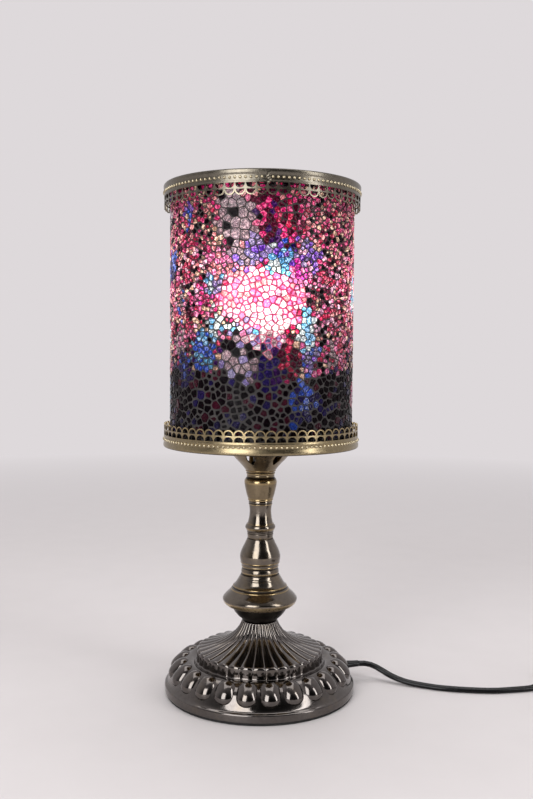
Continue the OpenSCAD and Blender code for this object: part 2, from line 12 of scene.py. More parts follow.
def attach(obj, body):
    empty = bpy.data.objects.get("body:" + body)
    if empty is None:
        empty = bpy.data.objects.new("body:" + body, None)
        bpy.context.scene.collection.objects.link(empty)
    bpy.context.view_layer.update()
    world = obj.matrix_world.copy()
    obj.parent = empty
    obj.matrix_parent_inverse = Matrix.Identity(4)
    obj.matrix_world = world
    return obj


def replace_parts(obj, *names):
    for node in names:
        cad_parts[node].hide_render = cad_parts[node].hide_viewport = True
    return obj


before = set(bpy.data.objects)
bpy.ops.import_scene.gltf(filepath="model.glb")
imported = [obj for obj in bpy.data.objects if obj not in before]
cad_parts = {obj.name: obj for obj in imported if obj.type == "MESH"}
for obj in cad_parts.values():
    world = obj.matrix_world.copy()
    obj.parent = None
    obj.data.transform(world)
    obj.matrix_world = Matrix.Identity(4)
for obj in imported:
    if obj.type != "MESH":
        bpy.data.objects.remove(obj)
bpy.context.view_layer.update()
mm = 0.001
chance = random.Random(11)


def intoScene(name, data):
    made = bpy.data.objects.new(name, data)
    bpy.context.scene.collection.objects.link(made)
    return made


# camera first, then the cord
cameraSet = {
    "place": (0.0037, -0.6220, 0.2354),
    "pitch": 2.95,      # below level
    "roll": 0.4,
    "lens": 40.55,      # millimetres, on a sensor of 36
}


def placeCamera():
    lens = bpy.data.cameras.new("viewpoint")
    lens.lens = cameraSet["lens"]
    lens.sensor_width = 36
    eye = intoScene("viewpoint", lens)
    turn = Matrix.Rotation(math.radians(90 - cameraSet["pitch"]), 4, "X")
    turn = turn @ Matrix.Rotation(math.radians(cameraSet["roll"]), 4, "Z")
    eye.matrix_world = Matrix.Translation(cameraSet["place"]) @ turn
    bpy.context.scene.camera = eye


placeCamera()
print("camera placed")


# ways to make a mesh

def smoothOver(mesh, sharp):
    # smooth shading, with a crease where faces meet at more than this angle
    mesh.polygons.foreach_set("use_smooth", [True] * len(mesh.polygons))
    mesh.set_sharp_from_angle(angle=math.radians(sharp))


def makePiece(name, points, faces, sharp=35, materials=(), marks=None):
    mesh = bpy.data.meshes.new(name)
    mesh.from_pydata([(x * mm, y * mm, z * mm) for x, y, z in points], [], faces)
    for material in materials:
        mesh.materials.append(material)
    if marks:
        mesh.polygons.foreach_set("material_index", marks)
    mesh.update()
    smoothOver(mesh, sharp)
    piece = intoScene(name, mesh)
    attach(piece, "lamp")
    return piece


def flow(points, steps=6):
    # a smooth line through the points
    line = [Vector(p) for p in points]
    line = [line[0] * 2 - line[1]] + line + [line[-1] * 2 - line[-2]]
    smooth = []
    for i in range(1, len(line) - 2):
        a, b, c, d = line[i - 1:i + 3]
        for k in range(steps):
            t = k / steps
            smooth.append(0.5 * (2 * b + (c - a) * t + (2 * a - 5 * b + 4 * c - d) * t * t
                                 + (3 * b - a - 3 * c + d) * t ** 3))
    smooth.append(line[-2])
    return smooth


def between(low, high, around):
    # the faces from one ring of points to another
    return [(low * around + k, low * around + (k + 1) % around,
             high * around + (k + 1) % around, high * around + k) for k in range(around)]


def fromFront(radius, angle, height):
    # a point on a circle round the lamp, the angle counted from the front
    return (radius * math.sin(angle), -radius * math.cos(angle), height)


def turnedPiece(name, outline, metals, bands=(), around=160):
    # a band is its low and high end and which of the metals it is
    rings = len(outline)
    points, faces, marks = [], [], []
    for radius, height in outline:
        for k in range(around):
            angle = 2 * math.pi * k / around
            points.append((radius * math.cos(angle), radius * math.sin(angle), height))
    for i in range(rings):
        j = (i + 1) % rings
        middle = (outline[i][1] + outline[j][1]) / 2
        mark = next((n for low, high, n in bands if low <= middle <= high), 0)
        faces += between(i, j, around)
        marks += [mark] * around
    return makePiece(name, points, faces, 40, metals, marks)


def joinInto(points, faces, newPoints, newFaces):
    start = len(points)
    points.extend(newPoints)
    faces.extend([tuple(start + n for n in face) for face in newFaces])


def mendMesh(mesh, reach):
    # joins points that lie together, and turns every face outward
    build = bmesh.new()
    build.from_mesh(mesh)
    bmesh.ops.remove_doubles(build, verts=build.verts, dist=reach)
    bmesh.ops.recalc_face_normals(build, faces=build.faces)
    build.to_mesh(mesh)
    build.free()


def evenSteps(line, step):
    lengths = [0.0]
    for a, b in zip(line, line[1:]):
        lengths.append(lengths[-1] + (b - a).length)
    count = max(2, round(lengths[-1] / step))
    spaced, i = [], 0
    for k in range(count + 1):
        want = lengths[-1] * k / count
        while i < len(lengths) - 2 and lengths[i + 1] < want:
            i += 1
        span = lengths[i + 1] - lengths[i]
        spaced.append(line[i].lerp(line[i + 1], (want - lengths[i]) / span if span else 0))
    return spaced


# ways to make a finish

def startFinish(name):
    finish = bpy.data.materials.new(name)
    finish.use_nodes = True
    tree = finish.node_tree
    return finish, tree, tree.nodes["Principled BSDF"]


def feed(tree, node, inputs):
    # each socket gets another node's output or a plain value
    for key, value in inputs.items():
        if hasattr(value, "is_output"):
            tree.links.new(value, node.inputs[key])
        else:
            node.inputs[key].default_value = value


def addNode(tree, kind, inputs=None, **settings):
    node = tree.nodes.new(kind)
    for key, value in settings.items():
        setattr(node, key, value)
    feed(tree, node, inputs or {})
    return node


def place(tree):
    return addNode(tree, "ShaderNodeTexCoord").outputs["Object"]


def cloud(tree, scale, detail=4, rough=0.55):
    return addNode(tree, "ShaderNodeTexNoise", {"Vector": place(tree), "Scale": scale, "Detail": detail,
                                                "Roughness": rough}).outputs["Fac"]


def spread(tree, value, low, high, toLow=0.0, toHigh=1.0):
    return addNode(tree, "ShaderNodeMapRange", {"Value": value, "From Min": low, "From Max": high,
                                                "To Min": toLow, "To Max": toHigh}).outputs["Result"]


def uneven(tree, scale, detail, low=0.0, high=1.0):
    return spread(tree, cloud(tree, scale, detail), 0.3, 0.7, low, high)


def blendColour(tree, factor, a, b):
    # a and b are colours or outputs
    a, b = [value if hasattr(value, "is_output") else colour(value) for value in (a, b)]
    return addNode(tree, "ShaderNodeMix", {0: factor, 6: a, 7: b}, data_type="RGBA").outputs[2]


def colour(rgb):
    def linear(c):
        c /= 255
        return c / 12.92 if c <= 0.04045 else ((c + 0.055) / 1.055) ** 2.4
    return (*[linear(c) for c in rgb], 1.0)


def relief(tree, shader, height, distance, strength=1.0):
    bump = addNode(tree, "ShaderNodeBump", {"Height": height, "Distance": distance, "Strength": strength})
    feed(tree, shader, {"Normal": bump.outputs["Normal"]})


def maths(tree, way, a, b=0.0):
    return addNode(tree, "ShaderNodeMath", {0: a, 1: b}, operation=way).outputs[0]


def agedMetal(name, dark, worn, wear=0.35, rough=(0.14, 0.3), edges=(0.51, 0.6), mottle=70, grain=0.00003):
    # dark in the hollows and in patches, rubbed pale where an edge stands out
    finish, tree, shader = startFinish(name)
    edge = addNode(tree, "ShaderNodeNewGeometry").outputs["Pointiness"]
    patches = cloud(tree, mottle, 5, 0.6)
    worked = maths(tree, "ADD", spread(tree, edge, *edges), spread(tree, patches, 0.52, 0.74, 0.0, wear))
    tone = blendColour(tree, spread(tree, worked, 0.0, 1.0), dark, worn)
    shade = blendColour(tree, spread(tree, cloud(tree, mottle * 6, 3), 0.35, 0.7, 0.0, 0.25), tone,
                        [c * 0.55 for c in dark])
    feed(tree, shader, {"Base Color": shade, "Metallic": 1.0,
                        "Roughness": uneven(tree, mottle * 2.5, 5, *rough)})
    relief(tree, shader, cloud(tree, 900, 3), grain, 0.6)
    return finish


def mouldedPlastic(name, base, rough=(0.35, 0.5), grain=0.00004, scale=1400):
    finish, tree, shader = startFinish(name)
    paler = [min(255, c * 1.06 + 3) for c in base]
    tone = blendColour(tree, uneven(tree, 120, 3), base, paler)
    feed(tree, shader, {"Base Color": tone, "Roughness": uneven(tree, 220, 3, *rough)})
    relief(tree, shader, cloud(tree, scale, 2), grain, 0.7)
    return finish


def brightMetal(name, base, rough=(0.2, 0.35), scale=260):
    finish, tree, shader = startFinish(name)
    tone = blendColour(tree, spread(tree, cloud(tree, scale, 4), 0.35, 0.7), base, [c * 0.8 for c in base])
    feed(tree, shader, {"Base Color": tone, "Metallic": 1.0,
                        "Roughness": uneven(tree, scale * 2, 3, *rough)})
    relief(tree, shader, cloud(tree, 1100, 2), 0.00002, 0.5)
    return finish


gunmetal = agedMetal("gunmetal", (115, 107, 98), (160, 138, 100), 0.3, (0.1, 0.22), (0.52, 0.64))
footMetal = agedMetal("footMetal", (102, 97, 94), (132, 118, 98), 0.3, (0.07, 0.18), (0.56, 0.75),
                      grain=0.000008)
bronze = agedMetal("bronze", (128, 114, 92), (186, 160, 112), 0.5, (0.14, 0.28), (0.52, 0.64))
# brass made paler than its own colour: painted light from the floor on the flared disc's downward-facing
# lower band
brassWithPaintedBounce = agedMetal("brassWithPaintedBounce", (184, 164, 130), (228, 206, 166), 0.5, (0.22, 0.34), (0.52, 0.64))
bowlMetal = agedMetal("bowlMetal", (60, 56, 52), (96, 86, 70), 0.15, (0.26, 0.4), (0.56, 0.75))
beadMetal = agedMetal("beadMetal", (178, 166, 140), (214, 200, 168), 0.3, (0.2, 0.3), (0.52, 0.64))
rubbedBrass = agedMetal("rubbedBrass", (150, 131, 98), (200, 176, 128), 0.5, (0.14, 0.28), (0.52, 0.64))
topMetal = agedMetal("topMetal", (116, 110, 99), (148, 138, 116), 0.2, (0.24, 0.32), (0.54, 0.68))
bottomMetal = agedMetal("bottomMetal", (146, 132, 104), (176, 156, 116), 0.2, (0.24, 0.32), (0.54, 0.68))
laceMetal = agedMetal("laceMetal", (110, 105, 95), (150, 141, 120), 0.4, (0.22, 0.38), (0.54, 0.68))
darkLine = agedMetal("darkLine", (52, 48, 45), (100, 84, 62), 0.15, (0.3, 0.45))
blackPlastic = mouldedPlastic("blackPlastic", (12, 12, 13), (0.28, 0.42))
rockerPlastic = mouldedPlastic("rockerPlastic", (28, 28, 30), (0.22, 0.35))
holderPlastic = mouldedPlastic("holderPlastic", (24, 22, 21), (0.2, 0.35))
cordPlastic = mouldedPlastic("cordPlastic", (6, 6, 7), (0.2, 0.3), 0.000004, 400)
cordPlastic.node_tree.nodes["Principled BSDF"].inputs["Specular IOR Level"].default_value = 0.22
zincSteel = brightMetal("zincSteel", (188, 190, 196))
capMetal = brightMetal("capMetal", (200, 196, 188), (0.2, 0.3))
copperMetal = brightMetal("copperMetal", (196, 132, 88))
castIron = brightMetal("castIron", (70, 70, 72), (0.55, 0.75), 160)
footPad = mouldedPlastic("footPad", (24, 23, 23), (0.8, 0.95), 0.00012, 700)
porcelain = mouldedPlastic("porcelain", (226, 222, 212), (0.18, 0.3), 0.00001, 400)
bulbWhite = mouldedPlastic("bulbWhite", (232, 230, 224), (0.3, 0.42), 0.00001, 500)
boardGreen = mouldedPlastic("boardGreen", (30, 84, 52), (0.3, 0.5), 0.00005, 800)
boardWhite = mouldedPlastic("boardWhite", (224, 222, 216), (0.4, 0.6), 0.00003, 700)
brownSleeve = mouldedPlastic("brownSleeve", (112, 70, 40), (0.35, 0.5))
blueSleeve = mouldedPlastic("blueSleeve", (44, 86, 168), (0.35, 0.5))
tieFabric = mouldedPlastic("tieFabric", (38, 38, 40), (0.7, 0.85), 0.0001, 1600)
print("finishes made")


# cord: a flat twin lead from the foot, through its switch, round the stored coil and to the plug
cordSet = {
    "width": 5.4,
    "thick": 3.2,
    "exit": (71.5, 19.15, 11.6),
    "toSwitch": [
        (58.92, 15.79, 11.6), (63.75, 17.08, 11.6), (67.6, 18.1, 11.6), (71.5, 19.2, 11.5), (76.4, 20, 11.2),
        (81.4, 19.6, 10.2), (86.2, 18.2, 8.3), (90.6, 15.8, 6.2), (96, 12, 4.3), (103, 8, 2.8),
        (110, 5.2, 2), (118, 2, 1.7), (127, -1.6, 1.7), (138, -4, 1.7), (151, -5.8, 1.7),
        (164, -6.2, 1.7), (177, -4.2, 1.7), (190, -1.2, 1.7), (197, 1.6, 2.4), (204, 4.2, 4.4),
        (210, 5.7, 5.7), (216, 6, 6), (224, 6, 6)],
    "toCoil": [
        (270, 6, 6), (276, 6, 6), (282, 5.7, 5.7), (288.5, 3.6, 4), (294, -0.6, 2.4), (298.2, -7, 1.8),
        (300, -15, 1.7), (299, -24, 1.7), (295.8, -34, 1.7), (292, -44, 1.7)],
    "coilMiddle": (250.2, -52),
    "outerTurn": 39.8, "innerTurn": 18.2,
    "lowLayer": 1.7, "highLayer": 4.9,
    "inwardTurns": 4, "riseTurns": 0.25, "outwardTurns": 3.75,      # in below, up a layer, and out on top
    "pointsInTurn": 20,
    "step": 4.4,        # between the cord's rings
    "toPlug": [(289.8, -60, 4.8), (289.4, -67, 4.9), (289.2, -73, 5.5), (289, -79, 6.4), (289, -86, 6.8)],
    "length": 1.8,
}


def coilRoute():
    s = cordSet
    turns = s["inwardTurns"] + s["riseTurns"] + s["outwardTurns"]
    points = []
    for k in range(round(turns * s["pointsInTurn"]) + 1):
        t = k / s["pointsInTurn"]
        if t <= s["inwardTurns"]:
            radius = s["outerTurn"] + (s["innerTurn"] - s["outerTurn"]) * t / s["inwardTurns"]
            height = s["lowLayer"]
        elif t <= s["inwardTurns"] + s["riseTurns"]:
            up = (t - s["inwardTurns"]) / s["riseTurns"]
            radius = s["innerTurn"]
            height = s["lowLayer"] + (s["highLayer"] - s["lowLayer"]) * up * up * (3 - 2 * up)
        else:
            out = (t - s["inwardTurns"] - s["riseTurns"]) / s["outwardTurns"]
            radius = s["innerTurn"] + (s["outerTurn"] - s["innerTurn"]) * out
            height = s["highLayer"]
        angle = -2 * math.pi * t
        points.append((s["coilMiddle"][0] + radius * math.cos(angle),
                       s["coilMiddle"][1] + radius * math.sin(angle), height))
    return points


def twinOutline():
    # two round wires side by side, with a groove between them
    s = cordSet
    core = s["thick"] / 2
    shift = s["width"] / 2 - core
    reach = math.acos(-shift / core)
    half = [(shift + core * math.cos(a), core * math.sin(a))
            for a in [reach * (k / 5 - 1) for k in range(11)]]
    return half[:-1] + [(-x, -y) for x, y in half[:-1]]


def sweepCord():
    route = cordSet["toSwitch"] + cordSet["toCoil"] + coilRoute() + cordSet["toPlug"]
    line = evenSteps(flow(route, 8), cordSet["step"])
    outline = twinOutline()
    points, faces = [], []
    for i, p in enumerate(line):
        ahead = (line[min(i + 1, len(line) - 1)] - line[max(i - 1, 0)]).normalized()
        side = ahead.cross(Vector((0, 0, 1))).normalized()
        up = side.cross(ahead)
        points += [tuple(p + side * a + up * b) for a, b in outline]
    n = len(outline)
    for i in range(len(line) - 1):
        faces += between(i, i + 1, n)
    faces.append(tuple(range(n - 1, -1, -1)))
    faces.append(tuple(range((len(line) - 1) * n, len(line) * n)))
    lead = makePiece("cord", points, faces, materials=[cordPlastic], sharp=50)
    print("cord is", round(sum((b - a).length for a, b in zip(line, line[1:]))), "mm long")
    return lead, [tuple(p * mm) for p in line]


glandSet = {
    "angle": 15, "height": 11.6,
    "ovalFrom": 62.5, "oval": 0.66,     # outside the foot it's flattened like the cord
    "outline": [
        (2.75, 54), (5.4, 54), (5.4, 56.2), (3.6, 56.2), (3.6, 62.4), (4.1, 62.7), (4.15, 63.2),
        (4.0, 63.8), (3.75, 65.2), (3.55, 67), (3.4, 69), (3.25, 71.4), (3.15, 73.2), (3.0, 73.9),
        (2.78, 74)],
}


def strainRelief():
    s = glandSet
    piece = turnedPiece("strainRelief", s["outline"], [cordPlastic], around=48)
    for v in piece.data.vertices:
        if v.co.z > s["ovalFrom"] * mm:
            v.co.x *= s["oval"]
    turn = Matrix.Rotation(math.radians(s["angle"]), 4, "Z") @ Matrix.Rotation(math.radians(90), 4, "Y")
    piece.data.transform(Matrix.Translation((0, 0, s["height"] * mm)) @ turn)
    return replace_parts(piece, "cord_gland")


def softEdged(node, name, material, width):
    # a copy of a frame node with rounded edges
    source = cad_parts[node]
    mesh = source.data.copy()
    mesh.materials.clear()
    mesh.materials.append(material)
    piece = intoScene(name, mesh)
    build = bmesh.new()
    build.from_mesh(mesh)
    bmesh.ops.remove_doubles(build, verts=build.verts, dist=0.00002)
    bmesh.ops.dissolve_limit(build, angle_limit=math.radians(2), verts=build.verts, edges=build.edges)
    build.to_mesh(mesh)
    build.free()
    bevel = piece.modifiers.new("edges", "BEVEL")
    bevel.width = width * mm
    bevel.segments = 3
    bevel.limit_method = "ANGLE"
    bevel.angle_limit = math.radians(40)
    bevel.use_clamp_overlap = True
    smoothOver(mesh, 50)
    return piece


cordPiece, cordLine = sweepCord()
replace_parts(cordPiece, "cord_run", "cord_link", "cord_coil", "cord_tail")
relieved = strainRelief()
for node, name, material, body, width in (
        ("switch_lower", "switchLower", blackPlastic, "lamp", 0.8),
        ("switch_upper", "switchUpper", blackPlastic, "lamp", 0.8),
        ("switch_rocker", "switchRocker", rockerPlastic, "rocker", 0.4),
        ("coil_tie", "coilTie", tieFabric, "lamp", 0.3),
        ("plug_body", "plugBody", blackPlastic, "lamp", 1.2)):
    part = softEdged(node, name, material, width)
    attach(part, body)
    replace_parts(part, node)
print("cord laid")


# foot: a pressed shell with egg lobes, a scalloped tier and a fluted trumpet
footSet = {
    "flutes": 32,
    "grooveShape": 0.7,     # below 1 the ridges are narrow
    "lobes": 24,
    "around": 32 * 16,
    "smooth": 40,           # how many of the outline's points are joined in a flowing line
    # radius, height, and where it's fluted how far in and how far down a groove cuts
    "outline": [
        (65.6, 1.8), (66, 2.2), (66.05, 4.2), (66, 6.3), (65.6, 6.95), (64.9, 7.3), (64.1, 7.7),
        (63.3, 8.6), (62.5, 10.2), (61.5, 12.6), (60.1, 15.4), (58.0, 18.0), (55.4, 20.2), (52.5, 21.8),
        (49.6, 22.6), (47.4, 22.5), (46.0, 22.0, 0.05, 0), (45.1, 21.6, 0.2, 0), (44.4, 21.7, 0.4, 0),
        (44.05, 22.6, 0.55, 0), (43.95, 24.4, 0.6, 0.1), (43.9, 26.4, 0.6, 0.3), (43.8, 28.2, 0.6, 0.5),
        (43.4, 29.2, 0.6, 0.7), (42.6, 29.7, 0.55, 0.7), (41.4, 29.95, 0.5, 0.7), (39.4, 30.35, 0.45, 0.6),
        (36.5, 31.1, 0.45, 0.6), (33.0, 32.1, 0.45, 0.6), (29.1, 33.4, 0.5, 0.55), (25.6, 35.0, 0.55, 0.5),
        (22.5, 36.7, 0.6, 0.4), (19.8, 38.6, 0.65, 0.35), (17.5, 40.6, 0.7, 0.25), (15.6, 42.9, 0.7, 0.15),
        (14.1, 45.2, 0.65, 0.05), (13.1, 47.4, 0.6, 0), (12.6, 48.6, 0.4, 0), (12.2, 49.2, 0.1, 0),
        (11.6, 49.4), (5.2, 49.4), (5.2, 37.6), (14, 37.6), (30, 31.0), (40.4, 27.0), (41.2, 20.0),
        (54, 14.6), (58.4, 7.4), (64.2, 5.4), (64.2, 1.8)],
    "eggMiddle": (55.8, 16.2),
    "eggFoot": (61.9, 10.0),
    "eggHalf": (8.8, 7.5, 5.6),     # along, across, thick
    "eggTaper": 0.06,
    "eggBlunt": 2.5,                # 2 is an ellipse, above it the ends are fuller
    "eggRows": 18, "eggColumns": 28,
}


def eggLobe():
    s = footSet
    middle = Vector(s["eggMiddle"])
    along = (middle - Vector(s["eggFoot"])).normalized()
    out = Vector((along.y, -along.x))
    half, across, thick = s["eggHalf"]
    rows, columns = s["eggRows"], s["eggColumns"]
    egg, skin = [], []
    for i in range(rows + 1):
        t = -math.cos(math.pi * i / rows)
        girth = math.sqrt(max(0.0, 1 - abs(t) ** s["eggBlunt"])) * (1 - s["eggTaper"] * t)
        for k in range(columns):
            turn = 2 * math.pi * k / columns
            spot = middle + along * half * t + out * thick * girth * math.cos(turn)
            egg.append((spot.x, across * girth * math.sin(turn), spot.y))
    for i in range(rows):
        skin += between(i, i + 1, columns)
    return egg, skin


def makeFoot():
    s = footSet
    around = s["around"]
    outline = [Vector((*p, 0, 0)[:4]) for p in s["outline"]]
    outline = flow(outline[:s["smooth"]], 3) + outline[s["smooth"]:]
    points, faces = [], []
    for radius, height, cutIn, cutDown in outline:
        for k in range(around):
            angle = 2 * math.pi * k / around
            groove = 1 - abs(math.cos(s["flutes"] / 2 * angle)) ** s["grooveShape"]
            points.append(fromFront(radius - cutIn * groove, angle, height - cutDown * groove))
    for i in range(len(outline)):
        faces += between(i, (i + 1) % len(outline), around)
    egg, skin = eggLobe()
    for n in range(s["lobes"]):
        angle = 2 * math.pi * (n + 0.5) / s["lobes"]
        c, d = math.cos(angle), math.sin(angle)
        joinInto(points, faces, [(r * c - w * d, r * d + w * c, z) for r, w, z in egg], skin)
    foot = makePiece("footShell", points, faces, materials=[footMetal], sharp=48)
    mendMesh(foot.data, 0.000001)
    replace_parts(foot, "base_shell")


makeFoot()
print("foot made")


# stem: turned pieces on the threaded tube, bottom to top; foot and lip have corners, the curve flows between
bore = 5.2
stemSet = {
    "stem_bowl": {
        "name": "invertedBowl", "steps": 6, "metals": [bowlMetal], "bands": [], "foot": [],
        "curve": [
            (10.8, 49.4), (12.0, 50.0), (13.6, 51.4), (15.8, 53.4), (17.6, 55.6), (18.9, 57.8),
            (19.6, 59.2)],
        "lip": [(19.7, 59.6), (19.3, 59.8)]},
    "stem_disc": {
        "name": "flaredDisc", "steps": 5, "metals": [gunmetal, rubbedBrass, darkLine, brassWithPaintedBounce],
        "bands": [(59.7, 63.9, 3), (71.2, 71.9, 1), (72.3, 73.1, 2), (73.4, 74.2, 1), (81.6, 82.7, 2)],
        "foot": [(20.6, 59.8), (21.6, 59.85)],
        "curve": [
            (23.3, 60.6), (24.5, 61.6), (25.4, 62.9), (25.9, 64.2), (25.8, 65.3), (24.9, 66.6),
            (23.6, 68.0), (22.0, 69.5), (20.6, 70.9), (20.1, 71.4), (20.0, 71.8), (19.3, 72.3),
            (18.8, 72.7), (18.7, 73.2), (18.9, 73.6), (18.6, 74.1), (17.6, 74.9), (16.7, 76.0),
            (15.9, 77.3), (15.2, 78.5), (14.8, 79.0), (14.6, 79.5), (14.0, 80.4), (13.5, 81.3),
            (13.2, 81.9)],
        "lip": [(12.7, 82.1), (12.5, 82.7)]},
    "stem_vase": {
        "name": "vase", "steps": 5, "metals": [gunmetal, rubbedBrass, darkLine],
        "bands": [(82.6, 83.4, 1), (85.9, 86.5, 2), (87.3, 87.9, 1), (89.9, 90.6, 1), (106.6, 107.4, 2)],
        "foot": [(12.4, 82.7), (12.9, 82.9)],
        "curve": [
            (13.2, 83.5), (13.0, 84.8), (12.6, 85.8), (12.3, 86.2), (12.6, 86.7), (12.9, 87.3),
            (13.0, 87.7), (12.9, 88.1), (13.1, 88.9), (13.5, 89.8), (13.7, 90.2), (13.6, 90.6),
            (13.9, 92.0), (14.1, 94.4), (13.7, 96.6), (12.9, 98.9), (11.8, 101.2), (10.7, 103.4),
            (9.8, 105.3), (9.1, 106.6)],
        "lip": [(8.9, 106.8), (8.8, 107.3)]},
    "stem_collar": {
        "name": "flaredCollar", "steps": 5, "metals": [gunmetal, rubbedBrass, darkLine],
        "bands": [(110.2, 110.7, 2), (111.4, 111.9, 2), (112.9, 114.3, 1)],
        "foot": [(8.6, 107.3), (8.8, 107.5)],
        "curve": [
            (8.9, 108.4), (9.1, 110.0), (8.95, 110.4), (9.15, 110.8), (9.2, 111.4), (9.1, 111.7),
            (9.3, 112.1), (9.7, 112.9), (10.2, 113.7), (10.5, 114.4), (10.5, 115.1), (10.2, 115.9),
            (9.8, 116.5)],
        "lip": [(9.5, 117.1)]},
    "stem_neck": {
        "name": "waistedNeck", "steps": 6, "metals": [gunmetal, rubbedBrass, darkLine],
        "bands": [(130.4, 131.0, 1), (131.3, 131.8, 2)],
        "foot": [(8.9, 117.1)],
        "curve": [
            (8.8, 117.7), (8.4, 119.2), (7.9, 121.4), (7.6, 124.0), (7.5, 126.4), (7.7, 128.6),
            (8.0, 130.2), (8.3, 130.8), (8.2, 131.2), (8.0, 131.6), (8.3, 132.0), (8.2, 132.8)],
        "lip": [(8.0, 133.3)]},
    "stem_knob": {
        "name": "knob", "steps": 6, "metals": [bronze, rubbedBrass, darkLine],
        "bands": [(133.2, 135.2, 1), (145.2, 147.6, 1), (148.7, 150.1, 2)],
        "foot": [(8.2, 133.3), (8.6, 133.5)],
        "curve": [
            (8.8, 134.1), (8.7, 134.8), (9.1, 135.8), (9.7, 137.8), (10.3, 140.4), (10.9, 143.2),
            (11.2, 145.2), (11.3, 146.4), (11.0, 147.8), (10.3, 148.8)],
        "lip": [(9.8, 149.4), (9.5, 150.1)]},
}

for node, look in stemSet.items():
    outline = [Vector(p) for p in look["foot"]] + flow(look["curve"], look["steps"])
    outline += [Vector(p) for p in look["lip"]]
    outline = [Vector((bore, outline[0].y))] + outline + [Vector((bore, outline[-1].y))]
    piece = turnedPiece(look["name"], [(p.x, p.y) for p in outline], look["metals"], look["bands"])
    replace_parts(piece, node)
print("stem made")


# pierced cup under the shade
cupSet = {
    "outside": [
        (9.5, 150.1), (9.7, 150.5), (9.55, 151.2), (9.9, 152.0), (10.1, 152.5), (9.8, 153.0), (10.2, 153.6),
        (10.6, 154.1), (10.4, 154.6), (11.2, 155.6), (12.6, 157.4), (14.6, 159.6), (16.8, 161.7),
        (18.8, 164.0), (20.8, 166.2), (22.9, 168.4), (24.4, 169.9), (25.0, 171.0), (25.0, 172.1)],
    "inside": [
        (23.6, 172.1), (23.2, 170.0), (21.6, 168.6), (19.4, 166.4), (15.4, 161.8), (12.2, 158.6),
        (10.8, 156.9), (5.2, 156.4), (5.2, 150.1)],
    "windows": 6,
    "turn": 8.4,
    # one window, seen from outside: across and height above the window's middle
    "window": [
        (-2.6, 3.3), (2.6, 3.3), (3.1, 2.6), (3.2, 0.2), (2.6, -0.9), (0.6, -3.3), (-0.6, -3.3),
        (-2.6, -0.9), (-3.2, 0.2), (-3.1, 2.6)],
    "windowHeight": 162.6,
    "cutFrom": 8.0, "cutTo": 32.0,      # from the cup's middle outward
    "bands": [(151.9, 152.6, 1), (152.9, 153.1, 2), (153.6, 154.5, 1), (170.4, 172.2, 1)],
}


def makeCup():
    s = cupSet
    outline = [(p.x, p.y) for p in flow(s["outside"], 3)] + s["inside"]
    cup = turnedPiece("piercedCup", outline, [bronze, rubbedBrass, darkLine], s["bands"])
    points, faces = [], []
    n = len(s["window"])
    for k in range(s["windows"]):
        angle = math.radians(s["turn"] + 360 * k / s["windows"])
        c, d = math.cos(angle), math.sin(angle)
        rings = []
        for depth in (s["cutFrom"], s["cutTo"]):
            rings += [(depth * c - x * d, depth * d + x * c, s["windowHeight"] + z) for x, z in s["window"]]
        ends = [tuple(range(n - 1, -1, -1)), tuple(range(n, 2 * n))]
        joinInto(points, faces, rings, between(0, 1, n) + ends)
    cutter = makePiece("windowCutter", points, faces)
    for piece in (cup, cutter):
        mendMesh(piece.data, 0.000001)
    cut = cup.modifiers.new("windows", "BOOLEAN")
    cut.object = cutter
    cut.solver = "EXACT"
    shaped = bpy.data.meshes.new_from_object(cup.evaluated_get(bpy.context.evaluated_depsgraph_get()))
    cup.modifiers.clear()
    cup.data = shaped
    bpy.data.objects.remove(cutter)
    smoothOver(shaped, 40)
    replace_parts(cup, "pierced_cup")


makeCup()
print("cup made")


# rims: a rolled band with a row of beads, and a lace fringe of half-round openings
rimSet = {
    "radius": 67.2, "face": 66.8, "thick": 0.8, "band": 8.2, "inner": 59.1, "around": 248,
    "beads": 124, "beadHeight": 5.3, "beadSize": 0.95, "beadRows": 4, "beadColumns": 10,
    "cells": 62,
    "archFoot": 4.9, "archRise": 3.1, "archSteps": 14,      # the lace's scalloped edge
    # an opening's foot, how much narrower than half a cell it is, rise of its round top, its straight sides
    "upperOpening": (0.4, 0.42, 2.5, 0.75),
    "lowerOpening": (4.3, 0.7, 2.6, 0.35),
    "bottom": 171.3, "top": 348.3,
}


def bandOutline():
    s = rimSet
    r, f, t = s["radius"], s["face"], s["thick"]
    roll = flow([(r - 1.6, 0.0), (r - 0.7, 0.12), (r - 0.12, 0.7), (r, 1.5), (r - 0.1, 2.6), (f, 3.6),
                 (f - 0.1, 4.4)], 4)
    wall = [(f - 0.1, 6.4), (f + 0.1, 6.9), (f + 0.1, 7.3), (f, 7.6), (f, s["band"])]
    inside = [(f - t, s["band"]), (f - t, t), (s["inner"], t)]
    return [(s["inner"], 0.0)] + [(p.x, p.y) for p in roll] + wall + inside


def beadRow(points, faces):
    s = rimSet
    rows, columns = s["beadRows"], s["beadColumns"]
    skin = []
    for i in range(rows - 1):
        skin += between(i, i + 1, columns)
    skin += [((rows - 1) * columns + k, (rows - 1) * columns + (k + 1) % columns, rows * columns)
             for k in range(columns)]
    for n in range(s["beads"]):
        angle = 2 * math.pi * n / s["beads"]
        out = Vector(fromFront(1, angle, 0))
        side = Vector((math.cos(angle), math.sin(angle), 0))
        middle = out * (s["face"] - 0.1) + Vector((0, 0, s["beadHeight"]))
        dome = []
        for i in range(rows):
            lift = math.pi / 2 * i / rows
            for k in range(columns):
                turn = 2 * math.pi * k / columns
                flat = s["beadSize"] * math.cos(lift)
                dome.append(tuple(middle + out * s["beadSize"] * math.sin(lift)
                                  + side * flat * math.cos(turn) + Vector((0, 0, flat * math.sin(turn)))))
        dome.append(tuple(middle + out * s["beadSize"]))
        joinInto(points, faces, dome, skin)


